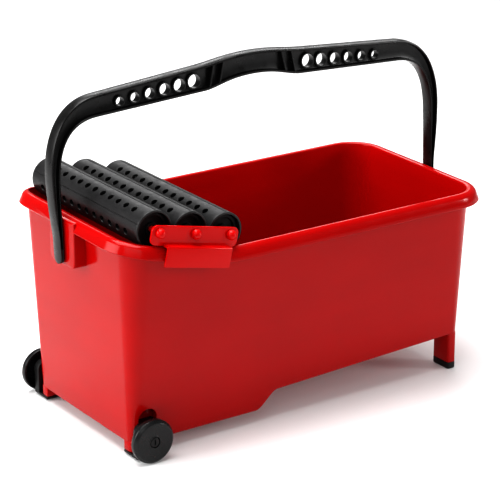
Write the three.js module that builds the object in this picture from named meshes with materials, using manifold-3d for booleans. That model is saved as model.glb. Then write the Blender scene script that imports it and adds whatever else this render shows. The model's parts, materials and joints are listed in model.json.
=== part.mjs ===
// Tile-washing bucket on two wheels with a lift-off three-roller wringer.
//
// Millimetres, +Z up, floor at z = 0. +X runs from the wheel and roller end to the leg end,
// and the bucket is symmetric about y = 0. The origin is on the floor under the middle of the rim.

import * as THREE from 'three';
import { mergeVertices } from 'three/addons/utils/BufferGeometryUtils.js';
import Module from 'manifold-3d';

const wasm = await Module();
wasm.setup();

// ---------------------------------------------------------------- driving dimensions

const GAP = 0.3;
const FAR = 400;
const OVERLAP = 0.01;

const WALL = 3;
const FLOOR = 3.5;
const BODY_LOW = { z: 17, left: -262.5, right: 255, half: 116, corner: 8, leftCorner: 12 };
const BODY_HIGH = { z: 259.6, left: -272.2, right: 272.6, half: 136.2, corner: 40, leftCorner: 30 };
const CORNER_STEPS = 3;

const RIM_TOP = 259.6;
const BODY_TOP = RIM_TOP + 60;
const RIM_DROP = 17;
const RIM_THICK = 3;
const RIM_UPPER = { left: -282.5, right: 282.5, half: 143, corner: 48 };
const RIM_LOWER = { left: -288.5, right: 288.5, half: 148, corner: 53 };
const RISE_START = -128.5;
const RISE_DEGREES = 12.3;
const RISE = THREE.MathUtils.degToRad(RISE_DEGREES);

const SUMP = { z: 17, end: -72 };
const STEP = [[-67.5, 18.8], [-49, 37.6], [-44.5, 40.6]];
const SHALLOW = { x: 300, z: 54.5 };

const HINGE_Z = 240.5;
const PAD = { half: 30, low: 229, corner: 9 };
const PEG = { radius: 4.2, inner: 279 };
const PEG_BORE = { radius: 4.5, end: 277.5 };

const LEG = { x0: 242, x1: 255, y0: 83.5, y1: 116.6, top: 53.5, corner: 3 };
const LEG_TENON = { inset: 2.2, low: 3.2 };
const FOOT = { height: 9.6, grow: 0.1, round: 2.2, socketCorner: 1 };

const WHEEL = { x: -246.5, z: 29, radius: 29, inner: 135, outer: 146, bevel: 3, rim: 4, disc: 4 };
const HUB = { radius: 9.5, inner: 131.2, bore: 5.2, counterbore: 6.9, depth: 2.4 };
const POCKET = { x: -240.5, half: 13, centre: 50.5, depth: 109 };
const SKID = { end: -222, inner: 97, low: 6.4 };
const HOUSING = { half: 16.3, top: 48, corner: 11, low: 2.6, inner: 109.6, wall: 119.6, outer: 130.6 };
const HOUSING_TOE = { inner: 97, top: 6.0 };
const AXLE = { radius: 4.8, head: 6.4, inner: 112, tip: 145.7, sides: 20 };
const AXLE_SLOT = { half: 1, reach: 3.5, depth: 1.4 };

const ROLLERS = 3;
const ROLLER = { pitch: 52.4, radius: 25, wall: 3, half: 128.2, sides: 15 };
const ROLLER_CENTRE = { x: -181.3, z: 288.9 };
const ROW = { holes: 12, pitch: 18.4, radius: 4.3, rows: 5, first: 118, sides: 6 };
const CAP = { radius: 21.2, inner: 118, face: 125.5, bore: 4.6, groove: 15, hub: 9, recess: 3, sides: 20 };
const PIN = { radius: 4.2, tip: 114, head: 6.6, collar: 1, rise: 8, domeSteps: 3, sides: 12 };

const PLATE = { inner: 138, outer: 141, left: -64, right: 64, low: -16, high: 9.5, corner: 8 };
const RIM_BELOW_ROLLERS = RIM_TOP + Math.tan(RISE) * (RISE_START - ROLLER_CENTRE.x) - ROLLER_CENTRE.z;
const HOOK_UNDER = RIM_BELOW_ROLLERS * Math.cos(RISE) + GAP;
const HOOK = { left: -44, right: 52, thick: 3.6, skirt: -40.2, leg: -31 };
const HOOK_SKIRT = { inner: 149, outer: 151.5 };
const HOOK_LEG = { inner: 129.4, outer: 131.6 };

const HANDLE_LEAN = 2.5;
const HANDLE = { half: 9.5, web: 4, inner: 290, outer: 295.6, curveSteps: 6 };
// Half outlines, from the hinge up one arm and along the bar to the middle.
// One point is a straight run, three are a cubic curve.
const OUTER_EDGE = [
  [[HANDLE.outer, HINGE_Z]],
  [[296, 262]],
  [[298, 285], [302, 300], [302.6, 340]],
  [[303.4, 392], [281, 436], [234, 439]],
  [[82, 451]],
  [[58, 453], [36, 458.5], [0, 458.5]],
];
const INNER_EDGE = [
  [[HANDLE.inner, HINGE_Z]],
  [[HANDLE.inner, 330]],
  [[289.8, 378], [276, 409], [232, 410.5]],
  [[72, 418]],
  [[52, 420], [38, 429], [0, 429]],
];
const FLANGE = { thick: 3.6, full: 350, thin: 1.6, end: 262 };
const HOLLOW_START = HINGE_Z + HANDLE.half + 1;
const BAR_HOLE = { count: 6, first: 88.4, pitch: 22, sides: 12 };
const LARGEST_HOLE = { radius: 9.5, z: 432.6 };
const SMALLEST_HOLE = { radius: 6.2, z: 424.4 };
const RIB = { slants: [[43.5, 50.5], [59, 65.5]], thick: 2.6, top: 456, bottom: 420, inset: 1 };

// ---------------------------------------------------------------- materials

function plastic(colour, roughness) {
  return new THREE.MeshStandardMaterial({ color: colour, roughness, metalness: 0 });
}

const RED = plastic(0xd8141c, 0.28);
const CHARCOAL = plastic(0x3c3c3c, 0.42);
const SPECKLED = plastic(0x5d5b5c, 0.62);
const WHEEL_GREY = plastic(0x2c2d2e, 0.38);
const BLACK = plastic(0x101010, 0.45);
const RUBBER = plastic(0x0c0c0c, 0.8);

// ---------------------------------------------------------------- solids and geometry

function toSolid(geometry) {
  const bare = geometry.clone();
  bare.deleteAttribute('normal');
  bare.deleteAttribute('uv');
  const merged = mergeVertices(bare, 1e-3);
  const vertProperties = Float32Array.from(merged.attributes.position.array);
  const triVerts = Uint32Array.from(merged.index.array);
  return new wasm.Manifold(new wasm.Mesh({ numProp: 3, vertProperties, triVerts }));
}

function toGeometry(solid) {
  const mesh = solid.getMesh();
  const geometry = new THREE.BufferGeometry();
  geometry.setAttribute('position', new THREE.BufferAttribute(mesh.vertProperties, 3));
  geometry.setIndex(new THREE.BufferAttribute(mesh.triVerts, 1));
  return geometry;
}

function add(...solids) {
  return solids.reduce((whole, solid) => whole.add(solid));
}

function box(x0, x1, y0, y1, z0, z1) {
  const geometry = new THREE.BoxGeometry(x1 - x0, y1 - y0, z1 - z0);
  return toSolid(geometry.translate((x0 + x1) / 2, (y0 + y1) / 2, (z0 + z1) / 2));
}

function cylinderY(radius, y0, y1, x, z, sides) {
  const geometry = new THREE.CylinderGeometry(radius, radius, y1 - y0, sides);
  return toSolid(geometry.translate(x, (y0 + y1) / 2, z));
}

function cylinderX(radius, x0, x1, z) {
  const geometry = new THREE.CylinderGeometry(radius, radius, x1 - x0, 24);
  return toSolid(geometry.rotateZ(Math.PI / 2).translate((x0 + x1) / 2, 0, z));
}

// A shape drawn in X and Z, thick from y0 to y1.
function upright(shape, y0, y1, curveSegments = 6) {
  const options = { depth: y1 - y0, bevelEnabled: false, curveSegments };
  const geometry = new THREE.ExtrudeGeometry(shape, options);
  return toSolid(geometry.rotateX(Math.PI / 2).translate(0, y1, 0));
}

function polygon(points) {
  return new THREE.Shape(points.map(([x, z]) => new THREE.Vector2(x, z)));
}

function roundedRectangle({ left, right, low, high, corner, leftCorner = corner }) {
  const shape = new THREE.Shape();
  shape.moveTo(left + leftCorner, low);
  shape.lineTo(right - corner, low);
  shape.absarc(right - corner, low + corner, corner, -Math.PI / 2, 0);
  shape.lineTo(right, high - corner);
  shape.absarc(right - corner, high - corner, corner, 0, Math.PI / 2);
  shape.lineTo(left + leftCorner, high);
  shape.absarc(left + leftCorner, high - leftCorner, leftCorner, Math.PI / 2, Math.PI);
  shape.lineTo(left, low + leftCorner);
  shape.absarc(left + leftCorner, low + leftCorner, leftCorner, Math.PI, 1.5 * Math.PI);
  return shape;
}

function plan({ half, ...outline }) {
  return roundedRectangle({ ...outline, low: -half, high: half });
}

// An upright block whose rounded outline changes from one size at z0 to another at z1.
function taperedBlock(lowOutline, highOutline, z0, z1) {
  const shape = plan(lowOutline);
  const options = { depth: z1 - z0, bevelEnabled: false, curveSegments: CORNER_STEPS };
  const geometry = new THREE.ExtrudeGeometry(shape, options);
  const lowPoints = shape.getPoints(CORNER_STEPS);
  const highPoints = plan(highOutline).getPoints(CORNER_STEPS);
  const position = geometry.attributes.position;
  for (let i = 0; i < position.count; i++) {
    if (position.getZ(i) > 0) {
      const here = new THREE.Vector2(position.getX(i), position.getY(i));
      const match = lowPoints.findIndex((point) => point.distanceTo(here) < 1e-3);
      position.setXY(i, highPoints[match].x, highPoints[match].y);
    }
  }
  return toSolid(geometry.translate(0, 0, z0));
}

function outset({ left, right, half, corner, leftCorner = corner }, amount) {
  return {
    left: left - amount,
    right: right + amount,
    half: half + amount,
    corner: corner + amount,
    leftCorner: leftCorner + amount,
  };
}

function mirrored(geometry) {
  const flipped = geometry.clone().scale(1, -1, 1);
  const index = flipped.index.array;
  for (let i = 0; i < index.length; i += 3) {
    [index[i], index[i + 1]] = [index[i + 1], index[i]];
  }
  return flipped;
}

// Both copies of a solid: as given, and mirrored to the other side of y = 0.
function bothSides(solid) {
  return solid.add(toSolid(mirrored(toGeometry(solid))));
}

// ---------------------------------------------------------------- bucket

function bodyOutline(z) {
  const share = (z - BODY_LOW.z) / (BODY_HIGH.z - BODY_LOW.z);
  const at = (key) => THREE.MathUtils.lerp(BODY_LOW[key], BODY_HIGH[key], share);
  return {
    left: at('left'),
    right: at('right'),
    half: at('half'),
    corner: at('corner'),
    leftCorner: at('leftCorner'),
  };
}

function bodyBlock(inset, z0, z1) {
  return taperedBlock(outset(bodyOutline(z0), -inset), outset(bodyOutline(z1), -inset), z0, z1);
}

// The rim climbs towards the roller end: what lies left of RISE_START is sheared upwards.
function alongRim(solid) {
  const slope = Math.tan(RISE);
  const level = solid.intersect(box(RISE_START, FAR, -FAR, FAR, -FAR, FAR));
  const rising = solid.intersect(box(-FAR, RISE_START + OVERLAP, -FAR, FAR, -FAR, FAR));
  const shear = new THREE.Matrix4().set(
    1, 0, 0, 0,
    0, 1, 0, 0,
    -slope, 0, 1, slope * RISE_START,
    0, 0, 0, 1,
  );
  return level.add(toSolid(toGeometry(rising).applyMatrix4(shear)));
}

// Everything lower than the rim's top by at least the given drop.
function belowRim(drop) {
  return alongRim(box(-FAR, FAR, -FAR, FAR, -FAR / 2, RIM_TOP - drop));
}

function belowFloorLine(lift) {
  const line = [[-FAR, SUMP.z], [SUMP.end, SUMP.z], ...STEP, [SHALLOW.x, SHALLOW.z]];
  const raised = line.map(([x, z]) => [x, z + lift]);
  return upright(polygon([...raised, [SHALLOW.x, -FAR], [-FAR, -FAR]]), -FAR, FAR);
}

function rim() {
  const upper = RIM_UPPER;
  const lower = RIM_LOWER;
  const skirtLow = RIM_TOP - RIM_DROP;
  const whole = taperedBlock(lower, upper, skirtLow, RIM_TOP);
  const inside = taperedBlock(
    outset(lower, -RIM_THICK),
    outset(upper, -RIM_THICK),
    skirtLow - 1,
    RIM_TOP - RIM_THICK,
  );
  return alongRim(whole.subtract(inside));
}

function wheelArch(extra, inner, outer) {
  const shape = new THREE.Shape();
  const half = POCKET.half + extra;
  shape.moveTo(POCKET.x - half, -FAR);
  shape.lineTo(POCKET.x + half, -FAR);
  shape.absarc(POCKET.x, POCKET.centre, half, 0, Math.PI);
  return bothSides(upright(shape, inner, outer));
}

// Pads under the rim at both ends, flush with its lip, that carry the handle's pegs.
function hingePads() {
  const high = BODY_TOP - 1;
  const { half, low, corner } = PAD;
  const shape = roundedRectangle({ left: -half, right: half, low, high, corner });
  const depth = 2 * RIM_LOWER.right;
  const bar = new THREE.ExtrudeGeometry(shape, { depth, bevelEnabled: false, curveSegments: 4 });
  bar.rotateX(Math.PI / 2).rotateZ(Math.PI / 2).translate(-depth / 2, 0, 0);
  return toSolid(bar).intersect(belowRim(RIM_THICK / 2)).subtract(bodyBlock(WALL, SUMP.z, BODY_TOP));
}

function legOutline(grow, corner = LEG.corner) {
  return { left: LEG.x0 - grow, right: LEG.x1 + grow, low: LEG.y0 - grow, high: LEG.y1 + grow, corner };
}

function bucketLegs() {
  const post = column(legOutline(0), FOOT.height + GAP, LEG.top);
  const tenon = column(legOutline(-LEG_TENON.inset, FOOT.socketCorner), LEG_TENON.low, FOOT.height + 1);
  return bothSides(post.add(tenon));
}

function column(outline, z0, z1) {
  const options = { depth: z1 - z0, bevelEnabled: false, curveSegments: 2 };
  return toSolid(new THREE.ExtrudeGeometry(roundedRectangle(outline), options).translate(0, 0, z0));
}

function bucket() {
  const outer = bodyBlock(0, SUMP.z, BODY_TOP).intersect(belowRim(0)).subtract(belowFloorLine(0));
  const cavity = bodyBlock(WALL, SUMP.z, BODY_TOP + 1).subtract(belowFloorLine(FLOOR));
  const archWall = wheelArch(WALL, POCKET.depth - WALL, FAR / 2).intersect(outer);
  const skids = bodyBlock(0, SKID.low, SUMP.z + 1).intersect(
    bothSides(box(-FAR, SKID.end, SKID.inner, FAR, 0, SUMP.z + 1)),
  );
  const outside = add(outer, rim(), hingePads());
  const shell = add(outside.subtract(cavity), archWall, skids, bucketLegs());
  const bores = cylinderX(PEG_BORE.radius, -FAR, -PEG_BORE.end, HINGE_Z)
    .add(cylinderX(PEG_BORE.radius, PEG_BORE.end, FAR, HINGE_Z));
  return shell.subtract(wheelArch(0, POCKET.depth, FAR / 2)).subtract(bores);
}

function footCap() {
  const outline = legOutline(FOOT.grow);
  const socket = legOutline(GAP - LEG_TENON.inset, FOOT.socketCorner);
  const bevel = FOOT.round;
  const options = {
    depth: FOOT.height - bevel,
    curveSegments: 2,
    bevelThickness: bevel,
    bevelSize: bevel,
    bevelOffset: -bevel,
    bevelSegments: 1,
  };
  const geometry = new THREE.ExtrudeGeometry(roundedRectangle(outline), options);
  const rounded = toSolid(geometry.translate(0, 0, bevel));
  const lower = rounded.intersect(box(-FAR, FAR, -FAR, FAR, -1, FOOT.height / 2));
  const upper = column(outline, FOOT.height / 2 - OVERLAP, FOOT.height);
  return lower.add(upper).subtract(column(socket, LEG_TENON.low - GAP, FAR));
}

// ---------------------------------------------------------------- wheels

// A block on the outside of the wall, its boss that fills the pocket, and a toe under the body's corner.
function axleHousing() {
  const block = new THREE.Shape();
  const x0 = WHEEL.x - HOUSING.half;
  const x1 = WHEEL.x + HOUSING.half;
  block.moveTo(x0, HOUSING.low);
  block.lineTo(x1, HOUSING.low);
  block.lineTo(x1, HOUSING.top - HOUSING.corner);
  block.absarc(x1 - HOUSING.corner, HOUSING.top - HOUSING.corner, HOUSING.corner, 0, Math.PI / 2);
  block.absarc(x0 + HOUSING.corner, HOUSING.top - HOUSING.corner, HOUSING.corner, Math.PI / 2, Math.PI);
  const body = upright(block, HOUSING.wall, HOUSING.outer);
  const reach = POCKET.half - GAP;
  const joined = HOUSING.wall + 1;
  const boss = box(POCKET.x - reach, POCKET.x + reach, HOUSING.inner, joined, HOUSING.low, HOUSING.top);
  const toe = box(x0, x1, HOUSING_TOE.inner, joined, HOUSING.low, HOUSING_TOE.top);
  const bore = cylinderY(AXLE.radius + GAP, AXLE.inner - GAP, FAR / 2, WHEEL.x, WHEEL.z, AXLE.sides);
  return add(body, boss, toe).subtract(bore);
}

function axlePin() {
  const { half, reach, depth } = AXLE_SLOT;
  const shank = cylinderY(AXLE.radius, AXLE.inner, AXLE.tip, WHEEL.x, WHEEL.z, AXLE.sides);
  const head = cylinderY(AXLE.head, WHEEL.outer - HUB.depth + GAP, AXLE.tip, WHEEL.x, WHEEL.z, AXLE.sides);
  const slot = box(WHEEL.x - half, WHEEL.x + half, AXLE.tip - depth, FAR, WHEEL.z - reach, WHEEL.z + reach);
  return shank.add(head).subtract(slot);
}

function wheel() {
  const { radius, inner, outer, bevel } = WHEEL;
  const profile = [
    [HUB.bore, HUB.inner],
    [HUB.radius, HUB.inner],
    [HUB.radius, outer - WHEEL.disc],
    [radius - WHEEL.rim, outer - WHEEL.disc],
    [radius - WHEEL.rim, inner],
    [radius, inner],
    [radius, outer - bevel],
    [radius - bevel / 3, outer - bevel / 3],
    [radius - bevel, outer],
    [HUB.counterbore, outer],
    [HUB.counterbore, outer - HUB.depth],
    [HUB.bore, outer - HUB.depth],
    [HUB.bore, HUB.inner],
  ].map(([r, y]) => new THREE.Vector2(r, y));
  const turned = new THREE.LatheGeometry(profile, 32);
  return toSolid(turned.translate(WHEEL.x, 0, WHEEL.z));
}

// ---------------------------------------------------------------- wringer, in a frame tilted with the rim

function rollerTube() {
  const tube = rollerPrism(ROLLER.radius, ROLLER.half);
  let perforated = tube.subtract(rollerPrism(ROLLER.radius - ROLLER.wall, FAR));
  for (let row = 0; row < ROW.rows; row++) {
    perforated = perforated.subtract(holeRow(ROW.first + (360 / ROW.rows) * row));
  }
  return perforated;
}

// A many-sided prism along Y with one flat facing each row of holes.
function rollerPrism(radius, half) {
  const geometry = new THREE.CylinderGeometry(radius, radius, 2 * half, ROLLER.sides);
  const facing = THREE.MathUtils.degToRad(ROW.first + RISE_DEGREES);
  return toSolid(geometry.rotateY(Math.PI / 2 - facing + Math.PI / ROLLER.sides));
}

// One row of radial holes, at an angle measured from +X towards +Z in the level frame.
function holeRow(degrees) {
  const tilt = THREE.MathUtils.degToRad(degrees + RISE_DEGREES);
  const holes = [];
  for (let i = 0; i < ROW.holes; i++) {
    const hole = new THREE.CylinderGeometry(ROW.radius, ROW.radius, 3 * ROLLER.wall, ROW.sides);
    hole.rotateZ(-Math.PI / 2);
    hole.translate(ROLLER.radius - ROLLER.wall / 2, (i - (ROW.holes - 1) / 2) * ROW.pitch, 0);
    holes.push(toSolid(hole.rotateY(-tilt)));
  }
  return add(...holes);
}

function rollerCap() {
  const profile = [
    [CAP.bore, CAP.inner],
    [CAP.radius, CAP.inner],
    [CAP.radius, CAP.face],
    [CAP.groove, CAP.face],
    [CAP.groove, CAP.face - CAP.recess],
    [CAP.hub, CAP.face - CAP.recess],
    [CAP.hub, CAP.face],
    [CAP.bore, CAP.face],
    [CAP.bore, CAP.inner],
  ].map(([r, y]) => new THREE.Vector2(r, y));
  return toSolid(new THREE.LatheGeometry(profile, CAP.sides));
}

function rollerPin() {
  const seat = PLATE.outer + GAP;
  const dome = [];
  for (let i = 0; i < PIN.domeSteps; i++) {
    const turn = (i / PIN.domeSteps) * (Math.PI / 2);
    dome.push([PIN.head * Math.cos(turn), seat + PIN.collar + (PIN.rise - PIN.collar) * Math.sin(turn)]);
  }
  const profile = [
    [0, PIN.tip],
    [PIN.radius, PIN.tip],
    [PIN.radius, seat],
    [PIN.head, seat],
    ...dome,
    [0, seat + PIN.rise],
  ].map(([r, y]) => new THREE.Vector2(r, y));
  return toSolid(new THREE.LatheGeometry(profile, PIN.sides));
}

function rollerOffsets() {
  return Array.from({ length: ROLLERS }, (_, i) => (i - (ROLLERS - 1) / 2) * ROLLER.pitch);
}

function wringerPlate() {
  const { left, right } = HOOK;
  const top = HOOK_UNDER + HOOK.thick;
  const upstand = upright(roundedRectangle(PLATE), PLATE.inner, PLATE.outer, 4);
  const bridge = box(left, right, HOOK_LEG.inner, HOOK_SKIRT.outer, HOOK_UNDER, top);
  const skirt = box(left, right, HOOK_SKIRT.inner, HOOK_SKIRT.outer, HOOK.skirt, top);
  const leg = box(left, right, HOOK_LEG.inner, HOOK_LEG.outer, HOOK.leg, top);
  const bores = rollerOffsets().map((x) => cylinderY(PIN.radius + GAP, 0, FAR, x, 0, PIN.sides));
  return add(upstand, bridge, skirt, leg).subtract(add(...bores));
}

// ---------------------------------------------------------------- handle

function edgePoints(runs) {
  const path = new THREE.Path();
  const [[start], ...rest] = runs;
  path.moveTo(...start);
  for (const run of rest) {
    if (run.length === 1) {
      path.lineTo(...run[0]);
    } else {
      path.bezierCurveTo(...run.flat());
    }
  }
  return path.getPoints(HANDLE.curveSteps);
}

// An edge moved across by one flange thickness, which grows from the thin arm ends to the bar.
function flangeEdge(points, side) {
  const { full, thick, end, thin } = FLANGE;
  return points.map((point, i) => {
    const before = points[Math.max(i - 1, 0)];
    const after = points[Math.min(i + 1, points.length - 1)];
    const along = after.clone().sub(before).normalize();
    const height = THREE.MathUtils.clamp(point.y, end, full);
    const amount = side * THREE.MathUtils.mapLinear(height, end, full, thin, thick);
    return new THREE.Vector2(point.x - along.y * amount, point.y + along.x * amount);
  });
}

function wholeEdge(half) {
  const other = half.slice(0, -1).reverse().map((point) => new THREE.Vector2(-point.x, point.y));
  return [...half, ...other];
}

function handleBlank(outer, inner, y0, y1) {
  return upright(new THREE.Shape([...wholeEdge(outer), ...wholeEdge(inner).reverse()]), y0, y1);
}

function handleRibs() {
  const shapes = [];
  for (const [high, low] of RIB.slants) {
    for (const side of [-1, 1]) {
      const upper = [[high, RIB.top], [high + RIB.thick, RIB.top]];
      const lower = [[low + RIB.thick, RIB.bottom], [low, RIB.bottom]];
      shapes.push(polygon([...upper, ...lower].map(([x, z]) => [side * x, z])));
    }
  }
  const half = HANDLE.half - RIB.inset;
  return add(...shapes.map((shape) => upright(shape, -half, half)));
}

function barHoles() {
  const holes = [];
  for (let i = 0; i < BAR_HOLE.count; i++) {
    const share = i / (BAR_HOLE.count - 1);
    const x = BAR_HOLE.first + BAR_HOLE.pitch * i;
    const z = THREE.MathUtils.lerp(LARGEST_HOLE.z, SMALLEST_HOLE.z, share);
    const radius = THREE.MathUtils.lerp(LARGEST_HOLE.radius, SMALLEST_HOLE.radius, share);
    for (const side of [-1, 1]) {
      holes.push(cylinderY(radius, -FAR, FAR, side * x, z, BAR_HOLE.sides));
    }
  }
  return add(...holes);
}

// The round arm ends and the pegs that snap into the bucket's bores.
function hingeEnds() {
  const end = cylinderX(HANDLE.half, HANDLE.inner, HANDLE.outer, HINGE_Z);
  const peg = cylinderX(PEG.radius, PEG.inner, HANDLE.inner + 1, HINGE_Z);
  const one = end.add(peg);
  return one.add(one.rotate([0, 0, 180]));
}

function handle() {
  const outer = edgePoints(OUTER_EDGE);
  const inner = edgePoints(INNER_EDGE);
  const blank = handleBlank(outer, inner, -HANDLE.half, HANDLE.half);
  const between = handleBlank(flangeEdge(outer, 1), flangeEdge(inner, -1), HANDLE.web / 2, FAR);
  const hollow = between.intersect(box(-FAR, FAR, 0, FAR, HOLLOW_START, 2 * FAR));
  const section = blank.subtract(bothSides(hollow)).subtract(barHoles());
  return add(section, handleRibs().intersect(blank), hingeEnds());
}

// ---------------------------------------------------------------- assembly

function part(name, solid, material) {
  const mesh = new THREE.Mesh(toGeometry(solid), material);
  mesh.name = name;
  return mesh;
}

// A piece made on the +Y side, and its mirror: "far" is +Y and "near" is -Y.
function addPair(group, name, solid, material, x = 0) {
  const far = part(`${name}_far`, solid, material);
  const near = new THREE.Mesh(mirrored(far.geometry), material);
  near.name = `${name}_near`;
  far.position.x = x;
  near.position.x = x;
  group.add(far, near);
}

function wringer() {
  const group = new THREE.Group();
  group.position.set(ROLLER_CENTRE.x, 0, ROLLER_CENTRE.z);
  group.rotation.y = RISE;
  addPair(group, 'wringer_plate', wringerPlate(), RED);
  rollerOffsets().forEach((x, i) => {
    const tube = part(`roller_${i + 1}_tube`, rollerTube(), SPECKLED);
    tube.position.x = x;
    group.add(tube);
    addPair(group, `roller_${i + 1}_cap`, rollerCap(), BLACK, x);
    addPair(group, `roller_${i + 1}_pin`, rollerPin(), RED, x);
  });
  return group;
}

function leaningHandle() {
  const hinge = new THREE.Group();
  hinge.position.z = HINGE_Z;
  hinge.rotation.x = -THREE.MathUtils.degToRad(HANDLE_LEAN);
  const mesh = part('handle', handle(), CHARCOAL);
  mesh.position.z = -HINGE_Z;
  hinge.add(mesh);
  return hinge;
}

const assembly = new THREE.Group();
assembly.add(part('bucket', bucket(), RED), leaningHandle(), wringer());
addPair(assembly, 'foot_cap', footCap(), RUBBER);
addPair(assembly, 'axle_housing', axleHousing(), BLACK);
addPair(assembly, 'axle_pin', axlePin(), BLACK);
addPair(assembly, 'wheel', wheel(), WHEEL_GREY);

export default assembly;
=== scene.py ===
# Looks of a tile-washing bucket on two wheels with a lift-off three-roller wringer.
#
# Shapes are drawn in millimetres in the row frame (+X towards the legs, +Y away from the near side,
# +Z up) and scaled to metres once, when a piece is placed. Outlines are lists of corners, each with the
# radius that rounds it.
import json
import math

import bmesh
import bpy
from mathutils import Matrix, Vector


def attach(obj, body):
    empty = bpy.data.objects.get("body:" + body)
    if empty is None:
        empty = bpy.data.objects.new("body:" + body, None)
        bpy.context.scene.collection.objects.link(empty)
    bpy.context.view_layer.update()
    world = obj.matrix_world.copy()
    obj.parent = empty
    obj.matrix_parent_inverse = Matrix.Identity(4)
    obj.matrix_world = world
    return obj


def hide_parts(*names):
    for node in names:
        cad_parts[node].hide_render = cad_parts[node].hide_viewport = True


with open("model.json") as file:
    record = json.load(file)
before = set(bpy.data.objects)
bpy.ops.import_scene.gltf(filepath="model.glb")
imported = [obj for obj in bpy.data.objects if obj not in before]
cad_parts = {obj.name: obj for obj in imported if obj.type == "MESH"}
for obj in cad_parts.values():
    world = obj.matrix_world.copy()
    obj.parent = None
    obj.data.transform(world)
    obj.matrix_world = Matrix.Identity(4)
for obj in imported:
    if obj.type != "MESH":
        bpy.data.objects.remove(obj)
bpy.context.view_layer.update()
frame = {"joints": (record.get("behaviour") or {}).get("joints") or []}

MM = 0.001
TINY = 1e-6
WELD = 1e-4
SIDE_SHARE = 0.499
NEAR, FAR = -1, 1
SIDE_NAMES = {NEAR: "near", FAR: "far"}
SHARP_TO_BEVEL = math.radians(40)
SHARP_TO_SHADE = math.radians(32)
JOINTS = {joint["name"]: joint for joint in frame["joints"]}


def joint_point(name):
    return Vector(JOINTS[name]["pos_m"]) / MM


# ---------------------------------------------------------------- driving dimensions, millimetres

WALL = 3.0
FLOOR = 3.5
GAP = 0.3
SMALL_EDGE = 0.8
OVERLAP = 1.0
CUT_THROUGH = 160.0
BODY_LOW = {"z": 17.0, "left": -262.5, "right": 255.0, "half": 116.0, "corner": 8.0, "left_corner": 12.0}
BODY_HIGH = {"z": 259.6, "left": -272.2, "right": 272.6, "half": 136.2, "corner": 40.0, "left_corner": 30.0}
RIM_UPPER = {"left": -282.5, "right": 282.5, "half": 143.0, "corner": 48.0, "left_corner": 48.0}
RIM_LOWER = {"left": -288.5, "right": 288.5, "half": 148.0, "corner": 53.0, "left_corner": 53.0}
RIM_TOP = 259.6
RIM_DROP = 17.0
RIM_EDGE = 6.2
LIP_EDGE = 1.5
INNER_EDGE_ROUND = 2.0
BOTTOM_ROUND = 3.0
FLOOR_ROUND = 7.0
RISE_START = -128.5
RISE_BLEND = 7.0
SUMP_Z = 17.0
STEP_START, STEP_END = -75.0, -41.5
SHALLOW_START_Z = 40.7
SHALLOW_SLOPE = 0.0403
CORNER_STEPS = 14
OUTLINE_PASSES = 4

PAD = {"half": 30.0, "low": 229.0, "corner": 9.0, "top_corner": 2.0, "round": 1.6}
LEG = {"x0": 242.0, "x1": 255.0, "y0": 83.5, "y1": 116.6, "corner": 3.0, "low": 9.9, "top": 54.0}
TENON = {"inset": 2.2, "low": 3.2}
FOOT = {"height": 9.6, "grow": 0.1, "round": 2.4, "lip": 0.6}
POCKET = {"x": -240.5, "half": 13.0, "centre": 50.5, "depth": 109.0, "low": -20.0}
SKID = {"end": -222.0, "inner": 97.0, "low": 6.4, "top": 19.8, "half": 116.0, "corner": 12.0}
HOUSING = {"half": 16.3, "top": 48.0, "corner": 11.0, "low": 2.6, "outer": 130.6}
HOUSING_BOSS = {"inner": 109.6, "outer": 121.6, "corner": 3.0}
HOUSING_WALL = 119.6
HOUSING_BEVEL = 0.6
TOE = {"inner": 97.0, "top": 6.0}
WHEEL = {"inner": 135.0, "outer": 146.0, "rim": 4.0, "disc": 4.0, "hub": 9.5, "hub_inner": 131.2}
WHEEL_EDGE = {"shoulder": 4.0, "bevel": 3.8, "dip": 0.3}
AXLE = {"radius": 4.8, "bore": 5.2, "head": 6.4, "inner": 112.0, "tip": 145.7, "seat": 143.6, "sink": 6.9}
AXLE_SLOT = {"half_width": 1.0, "half_length": 3.6, "corner": 0.6, "depth": 1.4}
FACE_STEP = {"inner": 8.6, "outer": 9.0, "fade": 17.0}

HANDLE_LEAN = math.radians(2.5)
HANDLE_HALF = 9.5
BAR_LOW = 400.0
WEB_HALF = 2.0
ARM_INNER = 290.0
PEG = {"radius": 4.2, "inner": 279.0, "bore": 4.5, "bore_inner": 277.5, "bore_outer": 320.0}
FLANGE = {"thick": 3.6, "full": 350.0, "thin": 1.6, "end": 262.0}
HOLLOW_START = 251.0
SOLID_FOOT_INSET = 0.9
BAR_HOLE = {"count": 6, "first": 88.4, "pitch": 22.0}
LARGEST_HOLE = {"radius": 9.5, "z": 432.6}
SMALLEST_HOLE = {"radius": 6.2, "z": 424.4}
RIB_SLANTS = ((43.5, 50.5), (59.0, 65.5))
RIB_THICK = 2.6
COLLAR = {"grow": 1.2, "half": 5.0, "lip": 0.5}

TUBE = {"radius": 25.0, "wall": 3.0, "half": 128.2, "end_round": 0.8, "plain_end": 6.0}
SEAM = {"reach": 0.9, "slope": 0.45, "depth": 0.8}
HOLE_CHAMFER = 0.4
HOLE_ROWS = {"rows": 5, "first": 118.0, "holes": 12, "pitch": 18.4, "radius": 4.3, "points": 24}
CAP = {"radius": 21.2, "inner": 118.0, "face": 122.6, "bore": 4.6}
CAP_GROOVE = {"outer": 17.0, "inner": 8.0, "depth": 3.4}
PIN = {"radius": 4.2, "tip": 114.0, "head": 6.6, "collar": 1.0, "rise": 8.0}
PLATE = {"inner": 138.0, "outer": 141.0}
PLATE_EDGES = {"left": -64.0, "right": 64.0, "low": -16.0, "high": 9.5, "corner": 8.0}
HOOK = {"left": -44.0, "right": 52.0, "thick": 3.6, "skirt": -40.2, "leg": -31.0}
PLATE_BORE = {"inner": 135.0, "outer": 145.0}
PLATE_BEVEL = 0.7
HOOK_SKIRT = {"inner": 149.0, "outer": 151.5}
HOOK_LEG = {"inner": 129.4, "outer": 131.6}

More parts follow.
